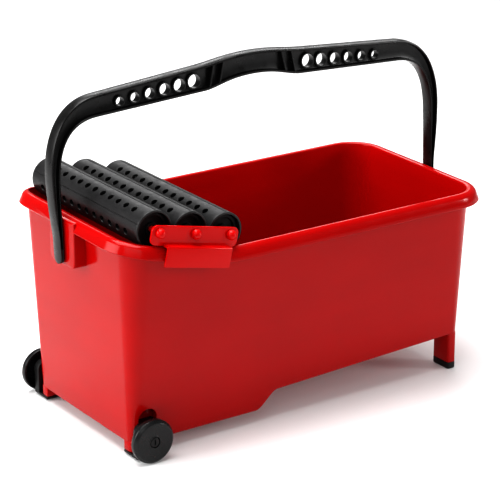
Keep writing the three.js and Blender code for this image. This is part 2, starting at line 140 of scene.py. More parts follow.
# ---------------------------------------------------------------- places read from the frame

HINGE_Z = joint_point("handle_swing").z
AXLE_CENTRE = joint_point("wheel_near_spin")
ROLLER_CENTRE = joint_point("roller_2_spin")
ROLLER_SPAN = joint_point("roller_3_spin") - joint_point("roller_1_spin")
ROLLER_PITCH = ROLLER_SPAN.length / 2
RISE = math.atan2(-ROLLER_SPAN.z, ROLLER_SPAN.x)
RISE_SLOPE = math.tan(RISE)
WRINGER_FRAME = Matrix.Translation(ROLLER_CENTRE) @ Matrix.Rotation(RISE, 4, "Y")


# ---------------------------------------------------------------- outlines

def rounded(corners, steps=4):
    """A closed outline: each corner is (x, y, radius)."""
    points = []
    for i, (x, y, radius) in enumerate(corners):
        here = Vector((x, y))
        to_before = Vector(corners[i - 1][:2]) - here
        to_after = Vector(corners[(i + 1) % len(corners)][:2]) - here
        half_angle = to_before.angle(to_after) / 2
        reach = radius / math.tan(half_angle) if radius else 0.0
        reach = min(reach, SIDE_SHARE * to_before.length, SIDE_SHARE * to_after.length)
        if reach < TINY:
            points.append(here)
            continue
        start = here + to_before.normalized() * reach
        end = here + to_after.normalized() * reach
        inward = (to_before.normalized() + to_after.normalized()).normalized()
        centre = here + inward * reach / math.cos(half_angle)
        swing = (start - centre).length
        for k in range(steps + 1):
            points.append(centre + (start - centre).slerp(end - centre, k / steps).normalized() * swing)
    return points


def upright_box(left, right, low, high, low_corner, high_corner, steps=4):
    """A rectangle's outline whose lower two and upper two corners have their own radii."""
    corners = [(left, low, low_corner), (right, low, low_corner)]
    corners += [(right, high, high_corner), (left, high, high_corner)]
    return rounded(corners, steps)


def arc_insets(radius, steps=4):
    """(inset, depth) pairs that round an edge, from the cap's level to the full outline."""
    turns = [k / steps * math.pi / 2 for k in range(steps + 1)]
    return [(radius * (1 - math.sin(turn)), radius * (1 - math.cos(turn))) for turn in turns]


def cubic(start, control_a, control_b, end, steps):
    """Points of a cubic curve, without its start."""
    points = []
    for k in range(1, steps + 1):
        t = k / steps
        s = 1 - t
        points.append(
            start * s ** 3 + control_a * 3 * s * s * t + control_b * 3 * s * t * t + end * t ** 3
        )
    return points


# ---------------------------------------------------------------- meshes

def mesh_of(vertices, faces):
    mesh = bmesh.new()
    placed = [mesh.verts.new(v) for v in vertices]
    for face in faces:
        mesh.faces.new([placed[i] for i in face])
    return mesh


def loft(rings, caps=True):
    """Skins closed rings of equal length; caps closes the first and the last with one face each."""
    count = len(rings[0])
    faces = []
    for r in range(len(rings) - 1):
        for i in range(count):
            j = (i + 1) % count
            faces.append((r * count + i, r * count + j, (r + 1) * count + j, (r + 1) * count + i))
    if caps:
        faces.append(tuple(range(count)))
        faces.append(tuple(range((len(rings) - 1) * count, len(rings) * count)))
    return mesh_of([point for ring in rings for point in ring], faces)


def prism(outline, low, high, place, bevel=0.0, steps=3):
    """An outline given thickness along its normal; place(u, v, w) puts a point in the row frame."""
    mesh = loft([[place(u, v, w) for u, v in outline] for w in (low, high)])
    if bevel:
        bmesh.ops.recalc_face_normals(mesh, faces=mesh.faces)
        sharp = [edge for edge in mesh.edges if edge.calc_face_angle() > SHARP_TO_BEVEL]
        bmesh.ops.bevel(
            mesh, geom=sharp, offset=bevel, segments=steps, profile=0.5, affect="EDGES", clamp_overlap=True
        )
    return mesh


def lathe(profile, place, segments=64):
    """Turns a closed (radius, along) outline; a point at radius 0 becomes a single vertex."""
    rings = []
    for k in range(segments):
        turn = 2 * math.pi * k / segments
        rings.append([place(r * math.cos(turn), r * math.sin(turn), w) for r, w in profile])
    mesh = loft([*rings, rings[0]], caps=False)
    bmesh.ops.remove_doubles(mesh, verts=mesh.verts, dist=WELD)
    return mesh


def drum(radius, low, high, place, segments=32):
    turns = [2 * math.pi * k / segments for k in range(segments)]
    outline = [(radius * math.cos(turn), radius * math.sin(turn)) for turn in turns]
    return prism(outline, low, high, place)


def as_object(mesh, name="tool"):
    bmesh.ops.remove_doubles(mesh, verts=mesh.verts, dist=WELD)
    bmesh.ops.recalc_face_normals(mesh, faces=mesh.faces)
    data = bpy.data.meshes.new(name)
    mesh.to_mesh(data)
    mesh.free()
    piece = bpy.data.objects.new(name, data)
    bpy.context.scene.collection.objects.link(piece)
    return piece


def combine(piece, operation, *tools):
    """Joins the tools to the piece ("UNION") or cuts them out of it ("DIFFERENCE")."""
    for tool_mesh in tools:
        tool = as_object(tool_mesh)
        modifier = piece.modifiers.new(operation, "BOOLEAN")
        modifier.solver = "EXACT"
        modifier.operation = operation
        modifier.object = tool
        bpy.context.view_layer.update()
        graph = bpy.context.evaluated_depsgraph_get()
        result = bpy.data.meshes.new_from_object(piece.evaluated_get(graph))
        piece.modifiers.clear()
        piece.data = result
        bpy.data.objects.remove(tool)
    return piece


def place_piece(piece, body, material, nodes):
    """Scales a finished piece to metres and hands it to its body, in place of those CAD nodes."""
    mesh = bmesh.new()
    mesh.from_mesh(piece.data)
    bmesh.ops.recalc_face_normals(mesh, faces=mesh.faces)
    bmesh.ops.scale(mesh, vec=(MM, MM, MM), verts=mesh.verts)
    mesh.to_mesh(piece.data)
    mesh.free()
    piece.data.shade_smooth()
    piece.data.set_sharp_from_angle(angle=SHARP_TO_SHADE)
    piece.data.materials.clear()
    piece.data.materials.append(material)
    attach(piece, body)
    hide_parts(*nodes)


def in_plan(x, y, z):
    return Vector((x, y, z))


def seen_from_side(side):
    """Draws in X and Z; w is the distance out from the middle plane towards that side."""
    return lambda x, z, w: Vector((x, side * w, z))


def seen_from_end(end):
    """Draws in Y and Z; w is the distance out from the middle towards that end."""
    return lambda y, z, w: Vector((end * w, y, z))


def about_hinge(end):
    """As seen_from_end, with the handle's hinge at the origin."""
    place = seen_from_end(end)
    return lambda y, z, w: place(y, z + HINGE_Z, w)


def in_wringer(side, along=0.0):
    """Draws in the wringer's tilted frame, w out towards that side, about a roller at that offset."""
    return lambda u, v, w: WRINGER_FRAME @ Vector((u + along, side * w, v))


def around_axle(side):
    return lambda u, v, w: Vector((AXLE_CENTRE.x + u, side * w, AXLE_CENTRE.z + v))


# ---------------------------------------------------------------- bucket

def body_outline(z):
    share = (z - BODY_LOW["z"]) / (BODY_HIGH["z"] - BODY_LOW["z"])
    return {key: BODY_LOW[key] + (BODY_HIGH[key] - BODY_LOW[key]) * share for key in RIM_UPPER}


def rim_outline(drop):
    share = drop / RIM_DROP
    return {key: RIM_UPPER[key] + (RIM_LOWER[key] - RIM_UPPER[key]) * share for key in RIM_UPPER}


def rise(x):
    """How far the rim has climbed at x, with a short curve where the climb starts."""
    past = RISE_START - x
    if past <= -RISE_BLEND:
        return 0.0
    if past >= RISE_BLEND:
        return RISE_SLOPE * past
    return RISE_SLOPE * (past + RISE_BLEND) ** 2 / (4 * RISE_BLEND)


def underside(x):
    """The bottom's height: level under the sump, an S-shaped step, then a gentle climb."""
    if x <= STEP_START:
        return SUMP_Z
    if x >= STEP_END:
        return SHALLOW_START_Z + SHALLOW_SLOPE * (x - STEP_END)
    width = STEP_END - STEP_START
    t = (x - STEP_START) / width
    rise_part = (3 * t * t - 2 * t ** 3) * (SHALLOW_START_Z - SUMP_Z)
    slope_part = (t ** 3 - t * t) * SHALLOW_SLOPE * width
    return SUMP_Z + rise_part + slope_part


def stations():
    """Places along the long sides, closest together at the step and where the rim starts to climb."""
    coarse = range(224, -234, -12)
    fine = [*range(-38, -80, -2), *range(-118, -140, -2)]
    return sorted({*coarse, *fine}, reverse=True)


STATIONS = stations()


def outline_columns(outline, inset):
    """The near half of a plan outline, from the leg end round to the wheel end."""
    half = outline["half"] - inset
    columns = []
    for sign, key, edge in ((1, "corner", outline["right"]), (-1, "left_corner", -outline["left"])):
        radius = outline[key] - inset
        centre_x = edge - inset - radius
        turns = [k / CORNER_STEPS * math.pi / 2 for k in range(CORNER_STEPS + 1)]
        corner = [
            (sign * (centre_x + radius * math.cos(turn)), -(half - radius) - radius * math.sin(turn))
            for turn in turns
        ]
        columns.append(corner)
    sides = [(x, -half) for x in STATIONS]
    return [*columns[0], *sides, *reversed(columns[1])]


def level_ring(outline_at, inset, height_at):
    """One closed ring whose height follows height_at(x), and whose outline follows that height."""
    count = 2 * (CORNER_STEPS + 1) + len(STATIONS)
    near = []
    for i in range(count):
        x = 0.0
        for _ in range(OUTLINE_PASSES):
            z = height_at(x)
            x, y = outline_columns(outline_at(z), inset)[i]
        near.append(Vector((x, y, height_at(x))))
    return near + [Vector((p.x, -p.y, p.z)) for p in reversed(near)]


def bucket_rings():
    """The skin's rings in order: up the outer wall, over the rim, down the inner wall to the floor."""
    rings = []
    for inset, lift in arc_insets(BOTTOM_ROUND):
        rings.append((body_outline, inset, lambda x, lift=lift: underside(x) + lift))
    top = RIM_TOP - WALL
    for share in (0.1, 0.3, 0.5, 0.7, 0.9, 1.0):
        rings.append((body_outline, 0.0, wall_height(BOTTOM_ROUND, top, share)))
    rings.append((lambda z: rim_outline(WALL), WALL, rim_height(WALL)))
    rings.append((lambda z: rim_outline(RIM_DROP), WALL, rim_height(RIM_DROP - LIP_EDGE)))
    lip = [(WALL - inset, RIM_DROP - lift) for inset, lift in reversed(arc_insets(LIP_EDGE))]
    lip += [(inset, RIM_DROP - lift) for inset, lift in arc_insets(LIP_EDGE)]
    for inset, drop in lip:
        rings.append((lambda z: rim_outline(RIM_DROP), inset, rim_height(drop)))
    for inset, drop in reversed(arc_insets(RIM_EDGE, 6)):
        rings.append((lambda z, drop=drop: rim_outline(drop), inset, rim_height(drop)))
    for inset, drop in arc_insets(INNER_EDGE_ROUND):
        rings.append((body_outline, WALL - inset, rim_height(drop)))
    inner_low, inner_high = FLOOR + FLOOR_ROUND, RIM_TOP - INNER_EDGE_ROUND
    for share in (0.9, 0.7, 0.5, 0.3, 0.1):
        rings.append((body_outline, WALL, wall_height(inner_low, inner_high, share)))
    for inset, lift in reversed(arc_insets(FLOOR_ROUND)):
        rings.append((body_outline, WALL + inset, lambda x, lift=lift: underside(x) + FLOOR + lift))
    return [level_ring(*ring) for ring in rings]


def rim_height(drop):
    """A height so far below the rim's top, as a function of x."""
    return lambda x: RIM_TOP - drop + rise(x)


def wall_height(low, high, share):
    """A height between low above the underside and the level high, which climbs with the rim."""
    return lambda x: (underside(x) + low) * (1 - share) + (high + rise(x)) * share


def bucket_shell():
    """The double-skinned body: underside, outer wall, rim, inner wall and floor, in one closed skin."""
    rings = bucket_rings()
    mesh = loft(rings, caps=False)
    mesh.verts.ensure_lookup_table()
    count = len(rings[0])
    for first in (0, (len(rings) - 1) * count):
        for i in range(count // 2 - 1):
            corners = (i, i + 1, count - 2 - i, count - 1 - i)
            mesh.faces.new([mesh.verts[first + k] for k in corners])
    return as_object(mesh, "bucket_shell")


def hinge_pad(end):
    """The block under the rim that a handle peg snaps into; its face is flush with the lip."""
    climb = rise(-RIM_LOWER["right"]) if end < 0 else 0.0
    wall = -BODY_HIGH["left"] if end < 0 else BODY_HIGH["right"]
    high = RIM_TOP - 1.5 * WALL + climb
    outline = upright_box(
        -PAD["half"], PAD["half"], PAD["low"], high, PAD["corner"], PAD["top_corner"], steps=6
    )
    inner = wall - WALL / 2 - OVERLAP
    return prism(outline, inner, RIM_LOWER["right"], seen_from_end(end), PAD["round"])


def leg(side):
    return prism(leg_outline(side, 0.0, LEG["corner"]), LEG["low"], LEG["top"], in_plan, 0.5, 2)


def leg_outline(side, grow, corner):
    x0, x1 = LEG["x0"] - grow, LEG["x1"] + grow
    y0, y1 = side * (LEG["y0"] - grow), side * (LEG["y1"] + grow)
    return rounded([(x0, y0, corner), (x1, y0, corner), (x1, y1, corner), (x0, y1, corner)])


def tenon(side, gap=0.0):
    outline = leg_outline(side, gap - TENON["inset"], 1.0)
    return prism(outline, TENON["low"] - gap, LEG["low"] + OVERLAP, in_plan)


def skid(side):
    """The body's corner carried down around the wheel pocket."""
    left, end = BODY_LOW["left"], SKID["end"]
    inner, half = side * SKID["inner"], side * SKID["half"]
    corners = [(left, half, SKID["corner"]), (left, inner, 1.0)]
    corners += [(end, inner, 1.0), (end, half, 1.5)]
    return prism(rounded(corners, 8), SKID["low"], SKID["top"], in_plan, SMALL_EDGE, 2)


def arch_outline(half, low):
    left, right = POCKET["x"] - half, POCKET["x"] + half
    top = POCKET["centre"] + half
    return rounded([(left, low, 0), (right, low, 0), (right, top, half), (left, top, half)], 12)


def pocket_liner(side):
    """The wall around the pocket, on the inside of the body."""
    outline = arch_outline(POCKET["half"] + WALL, SUMP_Z + OVERLAP)
    return prism(outline, POCKET["depth"] - WALL, BODY_LOW["half"] - OVERLAP, seen_from_side(side))


def pocket(side):
    """The arched space behind the wheel, cut into the body's side."""
    outline = arch_outline(POCKET["half"], POCKET["low"])
    return prism(outline, POCKET["depth"], CUT_THROUGH, seen_from_side(side))


def peg_bore(end):
    return drum(PEG["bore"], PEG["bore_inner"], PEG["bore_outer"], about_hinge(end))


def bucket(material):
    shell = bucket_shell()
    for sign in (NEAR, FAR):
        combine(shell, "UNION", hinge_pad(sign), leg(sign), tenon(sign), skid(sign), pocket_liner(sign))
    for sign in (NEAR, FAR):
        combine(shell, "DIFFERENCE", pocket(sign), peg_bore(sign))
    place_piece(shell, "bucket", material, ["bucket"])


def foot_ring(side, inset, height):
    outline = leg_outline(side, FOOT["grow"] - inset, LEG["corner"])
    return [Vector((x, y, height)) for x, y in outline]


def foot_cap(side, material):
    rings = [foot_ring(side, inset, lift) for inset, lift in arc_insets(FOOT["round"], 5)]
    for inset, drop in reversed(arc_insets(FOOT["lip"], 3)):
        rings.append(foot_ring(side, inset, FOOT["height"] - drop))
    name = f"foot_cap_{SIDE_NAMES[side]}"
    piece = combine(as_object(loft(rings), f"{name}_moulded"), "DIFFERENCE", tenon(side, GAP))
    place_piece(piece, "bucket", material, [name])


# ---------------------------------------------------------------- wheels

def axle_housing(side, material):
    """An outer block behind the wheel, a boss that fills the pocket and a toe under the corner."""
    place = seen_from_side(side)
    low, top = HOUSING["low"], HOUSING["top"]
    left, right = AXLE_CENTRE.x - HOUSING["half"], AXLE_CENTRE.x + HOUSING["half"]
    outline = upright_box(left, right, low, top, 1.0, HOUSING["corner"], 8)
    block = prism(outline, HOUSING_WALL, HOUSING["outer"], place, 1.0)
    boss_half = POCKET["half"] - GAP
    outline = upright_box(
        POCKET["x"] - boss_half, POCKET["x"] + boss_half, low, top, SMALL_EDGE, HOUSING_BOSS["corner"]
    )
    boss = prism(outline, HOUSING_BOSS["inner"], HOUSING_BOSS["outer"], place, HOUSING_BEVEL, 2)
    outline = upright_box(left, right, low, TOE["top"], SMALL_EDGE, SMALL_EDGE)
    toe = prism(outline, TOE["inner"], HOUSING_BOSS["outer"], place, HOUSING_BEVEL, 2)
    bore = drum(AXLE["radius"] + GAP, AXLE["inner"] - GAP, CUT_THROUGH, around_axle(side))
    name = f"axle_housing_{SIDE_NAMES[side]}"
    piece = as_object(block, f"{name}_moulded")
    combine(piece, "UNION", boss, toe)
    combine(piece, "DIFFERENCE", bore)
    place_piece(piece, "bucket", material, [name])


def axle_pin(side, material):
    shank, head = AXLE["radius"], AXLE["head"]
    under_head = AXLE["seat"] + GAP
    profile = [
        (0, AXLE["inner"], 0), (shank, AXLE["inner"], SMALL_EDGE), (shank, under_head, 0),
        (head, under_head, 0.2), (head, AXLE["tip"], 0.7), (0, AXLE["tip"], 0),
    ]
    width, length, corner = AXLE_SLOT["half_width"], AXLE_SLOT["half_length"], AXLE_SLOT["corner"]
    slot = upright_box(-width, width, -length, length, corner, corner)
    name = f"axle_pin_{SIDE_NAMES[side]}"
    piece = as_object(lathe(rounded(profile), around_axle(side), 48), f"{name}_turned")
    cutter = prism(slot, AXLE["tip"] - AXLE_SLOT["depth"], CUT_THROUGH, around_axle(side))
    combine(piece, "DIFFERENCE", cutter)
    place_piece(piece, "bucket", material, [name])


def wheel_profile():
    """(radius, distance out, rounding) corners: hub, hollow back, tread, bevel, face and pin seat."""
    radius = AXLE_CENTRE.z
    inner, outer = WHEEL["inner"], WHEEL["outer"]
    rim, disc, dip = radius - WHEEL["rim"], outer - WHEEL["disc"], outer - WHEEL_EDGE["dip"]
    shoulder = WHEEL_EDGE["shoulder"]
    back = [
        (AXLE["bore"], WHEEL["hub_inner"], 0.3), (WHEEL["hub"], WHEEL["hub_inner"], SMALL_EDGE),
        (WHEEL["hub"], disc, 1.0), (rim, disc, 1.5), (rim, inner, 0.6), (radius - 0.4, inner, 1.0),
    ]
    tread = [
        (radius, inner + shoulder, 6.0), (radius, outer - shoulder, 2.4),
        (radius - WHEEL_EDGE["bevel"], outer, 2.2),
    ]
    face = [
        (FACE_STEP["fade"], dip, 4.0), (FACE_STEP["outer"], dip, 0.5), (FACE_STEP["inner"], outer, 0.3),
        (AXLE["sink"] + 0.3, outer, 0.3), (AXLE["sink"], AXLE["seat"], 0.2),
        (AXLE["bore"], AXLE["seat"], 0.1),
    ]
    return rounded(back + tread + face)


def wheel(side, material):
    name = f"wheel_{SIDE_NAMES[side]}"
    piece = as_object(lathe(wheel_profile(), around_axle(side), 96), f"{name}_moulded")
    place_piece(piece, name, material, [name])


# ---------------------------------------------------------------- wringer

def ring_point(k, share, start):
    """A point of the ring between the hole's circle (share 0) and the pitch's square (share 1)."""
    turn = 2 * math.pi * k / HOLE_ROWS["points"]
    u, v = math.cos(turn), math.sin(turn)
    square = HOLE_ROWS["pitch"] / 2 / max(abs(u), abs(v))
    reach = start * (1 - share) + square * share
    return u * reach, v * reach


def tube_quads():
    """The tube's sheet laid flat: quads of (around, along, depth) points."""
    points, wall, hole = HOLE_ROWS["points"], TUBE["wall"], HOLE_ROWS["radius"]
    wide = hole + HOLE_CHAMFER
    levels = [(share, wide, 0.0) for share in (1.0, 0.7, 0.35, 0.0)]
    levels += [(0.0, hole, HOLE_CHAMFER)]
    levels += [(share, hole, wall) for share in (0.0, 0.5, 1.0)]
    rings = [
        [(*ring_point(k, share, start), depth) for k in range(points)]
        for share, start, depth in levels
    ]
    return [
        (a[k], a[(k + 1) % points], b[(k + 1) % points], b[k])
        for a, b in zip(rings, rings[1:])
        for k in range(points)
    ]


def tube_strips():
    """Columns beside the holes, with the fine seam groove where two strips meet: (around, depth)."""
    edge = HOLE_ROWS["pitch"] / 2
    seam = math.pi * TUBE["radius"] / HOLE_ROWS["rows"]
    flat = [(edge, 0.0), (edge + 2.0, 0.0), (edge + 4.2, 0.0), (seam - SEAM["reach"], 0.0)]
    return flat + [(seam - SEAM["slope"], SEAM["depth"]), (seam, SEAM["depth"])]


def side_places():
    """The heights of a square's boundary points along one side."""
    eighth = HOLE_ROWS["points"] // 8
    turns = [2 * math.pi * k / HOLE_ROWS["points"] for k in range(-eighth, eighth + 1)]
    return [HOLE_ROWS["pitch"] / 2 * math.tan(turn) for turn in turns]


def strip_quads(columns, places):
    quads = []
    for (u0, d0), (u1, d1) in zip(columns, columns[1:]):
        for v0, v1 in zip(places, places[1:]):
            quads.append(((u0, v0, d0), (u1, v0, d1), (u1, v1, d1), (u0, v1, d0)))
    return quads


def tube_end_quads():
    """The plain band past the last hole, its rounded end and the way back inside."""
    wall, half, edge = TUBE["wall"], TUBE["half"], TUBE["end_round"]
    strip = tube_strips()
    around = [(-u, d) for u, d in reversed(strip)] + [(u, 0.0) for u in side_places()[1:-1]] + strip
    start = HOLE_ROWS["holes"] * HOLE_ROWS["pitch"] / 2
    sections = [(start, 0.0, True), (half - TUBE["plain_end"], 0.0, True)]
    sections += [(half - lift, inset, False) for inset, lift in reversed(arc_insets(edge, 3))]
    sections += [(half - lift, wall - inset, False) for inset, lift in arc_insets(edge, 3)]
    sections += [(start, wall, False)]
    quads = []
    for (v0, d0, groove0), (v1, d1, groove1) in zip(sections, sections[1:]):
        for (ua, ga), (ub, gb) in zip(around, around[1:]):
            quads.append((
                (ua, v0, d0 + ga * groove0), (ub, v0, d0 + gb * groove0),
                (ub, v1, d1 + gb * groove1), (ua, v1, d1 + ga * groove1),
            ))
    return quads


def whole_tube_sheet():
    """One row of holes with the plain bands beside it and past both ends, laid flat."""
    places = side_places()
    strip = tube_strips()
    inner = [(u, TUBE["wall"]) for u, _ in strip]
    beside = strip_quads(strip, places) + strip_quads(inner, places)
    cell = tube_quads() + beside + [tuple((-u, v, d) for u, v, d in quad) for quad in beside]
    holes = HOLE_ROWS["holes"]
    middle = (holes - 1) / 2
    sheet = [
        tuple((u, v + (i - middle) * HOLE_ROWS["pitch"], d) for u, v, d in quad)
        for i in range(holes)
        for quad in cell
    ]
    end = tube_end_quads()
    return sheet + end + [tuple((u, -v, d) for u, v, d in quad) for quad in end]


def tube_mesh(number):
    """The flat sheet rolled up, once for each row of holes."""
    place = in_wringer(FAR, (number - 2) * ROLLER_PITCH)
    radius = TUBE["radius"]
    sheet = whole_tube_sheet()
    vertices = []
    faces = []
    for row in range(HOLE_ROWS["rows"]):
        middle = math.radians(HOLE_ROWS["first"] + row * 360 / HOLE_ROWS["rows"])
        for quad in sheet:
            first = len(vertices)
            for u, v, depth in quad:
                turn = middle + u / radius + RISE
                reach = radius - depth
                vertices.append(place(reach * math.cos(turn), reach * math.sin(turn), v))
            faces.append((first, first + 1, first + 2, first + 3))
    return mesh_of(vertices, faces)


def roller_tube(number, material):
    name = f"roller_{number}_tube"
    piece = as_object(tube_mesh(number), f"{name}_perforated")
    place_piece(piece, f"roller_{number}", material, [name])


def roller_cap(number, side, material):
    face, low = CAP["face"], CAP["face"] - CAP_GROOVE["depth"]
    outer, inner = CAP_GROOVE["outer"], CAP_GROOVE["inner"]
    profile = [
        (CAP["bore"], CAP["inner"], 0.3), (CAP["radius"], CAP["inner"], 0.5),
        (CAP["radius"], face, SMALL_EDGE),
        (outer, face, 0.6), (outer - 0.5, low, 0.6), (inner + 0.4, low, 0.6),
        (inner, face, 0.6), (CAP["bore"], face, 0.4),
    ]
    name = f"roller_{number}_cap_{SIDE_NAMES[side]}"
    place = in_wringer(side, (number - 2) * ROLLER_PITCH)
    piece = as_object(lathe(rounded(profile), place, 72), f"{name}_moulded")
    place_piece(piece, f"roller_{number}", material, [name])


def roller_pin(number, side, material):
    """A short pin with a domed head that stands proud of the plate."""
    seat = PLATE["outer"] + GAP
    dome_start, dome_rise, steps = seat + PIN["collar"], PIN["rise"] - PIN["collar"], 10
    turns = [k / steps * math.pi / 2 for k in range(steps)]
    dome = [(PIN["head"] * math.cos(t), dome_start + dome_rise * math.sin(t), 0) for t in turns]
    profile = [
        (0, PIN["tip"], 0), (PIN["radius"], PIN["tip"], 0.6), (PIN["radius"], seat, 0),
        (PIN["head"], seat, 0.2), *dome, (0, seat + PIN["rise"], 0),
    ]
    name = f"roller_{number}_pin_{SIDE_NAMES[side]}"
    place = in_wringer(side, (number - 2) * ROLLER_PITCH)
    piece = as_object(lathe(rounded(profile), place, 48), f"{name}_moulded")
    place_piece(piece, "wringer", material, [name])


def hook_mesh(side):
    """The channel that hangs the plate on the rim: an inner leg, a bridge and an outer skirt."""
    rim_below = RIM_TOP + RISE_SLOPE * (RISE_START - ROLLER_CENTRE.x) - ROLLER_CENTRE.z
    under = rim_below * math.cos(RISE) + GAP
    top = under + HOOK["thick"]
    leg_in, leg_out = HOOK_LEG["inner"], HOOK_LEG["outer"]
    skirt_in, skirt_out = HOOK_SKIRT["inner"], HOOK_SKIRT["outer"]
    leg, skirt = HOOK["leg"], HOOK["skirt"]
    section = rounded([
        (leg_in, leg, SMALL_EDGE), (leg_in, top, 2.0),
        (skirt_out, top, 2.6), (skirt_out, skirt, SMALL_EDGE),
        (skirt_in, skirt, SMALL_EDGE), (skirt_in, under, 1.0),
        (leg_out, under, 1.0), (leg_out, leg, SMALL_EDGE),
    ])
    place = in_wringer(side)
    return prism(section, HOOK["left"], HOOK["right"], lambda w, v, u: place(u, v, w), PLATE_BEVEL)


def wringer_plate(side, material):
    left, right, low, high, corner = PLATE_EDGES.values()
    outline = upright_box(left, right, low, high, corner, corner, 8)
    upstand = prism(outline, PLATE["inner"], PLATE["outer"], in_wringer(side), PLATE_BEVEL)
    name = f"wringer_plate_{SIDE_NAMES[side]}"
    piece = combine(as_object(upstand, f"{name}_moulded"), "UNION", hook_mesh(side))
    for number in (1, 2, 3):
        place = in_wringer(side, (number - 2) * ROLLER_PITCH)
        bore = drum(PIN["radius"] + GAP, PLATE_BORE["inner"], PLATE_BORE["outer"], place)
        combine(piece, "DIFFERENCE", bore)
    place_piece(piece, "wringer", material, [name])


# ---------------------------------------------------------------- handle

def handle_edges():
    """Matching points of the outer and inner outline, from the hinge up one arm to the bar's middle."""
    outer = [
        [(295.6, HINGE_Z)],
        [(296, 262)],
        [(298, 285), (302, 300), (302.6, 340)],
        [(303.4, 392), (281, 436), (234, 439)],
        [(82, 451)],
        [(58, 453), (36, 458.5), (0, 458.5)],
    ]
    inner = [
        [(ARM_INNER, HINGE_Z)],
        [(ARM_INNER, 262)],
        [(ARM_INNER, 330)],
        [(289.8, 378), (276, 409), (232, 410.5)],
        [(72, 418)],
        [(52, 420), (38, 429), (0, 429)],
    ]
    steps = (8, 16, 40, 40, 24)
    return edge_points(outer, steps), edge_points(inner, steps)


def edge_points(runs, steps):
    """Walks the runs: one corner makes a straight run, three make a cubic curve."""
    points = [Vector(runs[0][0])]
    for run, count in zip(runs[1:], steps):
        start = points[-1]
        corners = [Vector(corner) for corner in run]
        if len(corners) == 1:
            points += [start.lerp(corners[0], k / count) for k in range(1, count + 1)]
        else:
            points += cubic(start, *corners, count)
    return points


def handle_section(thick, flange, half, web):
    """Half of the I-shaped section: (across, sideways) from the outer face's middle to the inner's."""
    edge = min(1.5, 0.6 * flange)
    fillet = min(0.9, (thick - 2 * flange) / 4, max(half - web, 0.2) / 3)
    tip = min(0.4, half / 8)
    side = max(half - edge, 0.2 * half)
    corner = [(0.5, side), (0.5 + 0.29 * edge, half - 0.29 * edge), (0.5 + edge, half)]
    flank = [(flange - tip, half), (flange, half - tip)]
    root = [(flange, web + fillet), (flange + 0.29 * fillet, web + 0.29 * fillet), (flange + fillet, web)]
    outer_part = [*corner, *flank, *root]
    inner_part = [(thick - across, sideways) for across, sideways in reversed(outer_part)]
    return [(0.0, 0.0), *outer_part, *inner_part, (thick, 0.0)]


def handle_ring(outer, inner, half, web):
    """One closed ring across the arm or bar, with flanges that get thinner towards the foot."""
    across = inner - outer
    thick = across.length
    across = across.normalized()
    height = min(max(outer.y, FLANGE["end"]), FLANGE["full"])
    share = (height - FLANGE["end"]) / (FLANGE["full"] - FLANGE["end"])
    flange = FLANGE["thin"] + (FLANGE["thick"] - FLANGE["thin"]) * share
    section = handle_section(thick, flange, half, web)
    loop = section + [(a, -y) for a, y in reversed(section[1:-1])]
    return [Vector((outer.x + across.x * a, y, outer.y + across.y * a)) for a, y in loop]


def handle_rings():
    """Rings of one arm, its rounded foot first, and of half the bar."""
    outer, inner = handle_edges()
    rings = []
    for degrees in (86, 70, 54, 38, 24, 11):
        turn = math.radians(degrees)
        half = HANDLE_HALF * math.cos(turn)
        drop = Vector((0.0, HANDLE_HALF * math.sin(turn)))
        rings.append(handle_ring(outer[0] - drop, inner[0] - drop, half, half * 0.9))
    solid = HANDLE_HALF - SOLID_FOOT_INSET
    edges = list(zip(outer, inner))
    first_hollow = next(i for i, (a, _) in enumerate(edges) if a.y > HOLLOW_START)
    rings += [handle_ring(a, b, HANDLE_HALF, solid) for a, b in edges[:first_hollow]]
    a, b = edges[first_hollow]
    for height, web in ((HOLLOW_START, solid), (HOLLOW_START + 0.6, WEB_HALF)):
        rings.append(handle_ring(Vector((a.x, height)), Vector((b.x, height)), HANDLE_HALF, web))
    above = [(a, b) for a, b in edges[first_hollow:] if a.y > HOLLOW_START + 1.0]
    return rings + [handle_ring(a, b, HANDLE_HALF, WEB_HALF) for a, b in above]


def edge_height(points, x):
    """The height of the bar's edge at x."""
    for a, b in zip(points, points[1:]):
        if min(a.x, b.x) <= x <= max(a.x, b.x) and abs(b.x - a.x) > TINY and a.y > BAR_LOW:
            return a.y + (b.y - a.y) * (x - a.x) / (b.x - a.x)
    raise ValueError(f"the bar has no edge at x = {x}")


def handle_rib(high_x, low_x, end, side):
    """A slanting rib across the web's recess, between the two flanges."""
    outer, inner = handle_edges()
    high = edge_height(outer, high_x) - FLANGE["thick"] / 2
    low = edge_height(inner, low_x) + FLANGE["thick"] / 2
    outline = [(high_x, high), (high_x + RIB_THICK, high), (low_x + RIB_THICK, low), (low_x, low)]
    outline = [(end * x, z) for x, z in outline]
    return prism(outline, WEB_HALF - 0.5, HANDLE_HALF - 1.0, seen_from_side(side), 0.4, 2)


def around_bar_hole(index, end, grow, half):
    """A drum about one hole of the bar, that much wider than the hole and reaching half either way."""
    share = index / (BAR_HOLE["count"] - 1)
    x = end * (BAR_HOLE["first"] + BAR_HOLE["pitch"] * index)
    z = LARGEST_HOLE["z"] + (SMALLEST_HOLE["z"] - LARGEST_HOLE["z"]) * share
    radius = LARGEST_HOLE["radius"] + (SMALLEST_HOLE["radius"] - LARGEST_HOLE["radius"]) * share
    place = seen_from_side(FAR)
    return drum(radius + grow, -half, half, lambda u, v, w: place(u + x, v + z, w), segments=44)


def peg(end):
    return drum(PEG["radius"], PEG["inner"], ARM_INNER + 1.5, about_hinge(end))


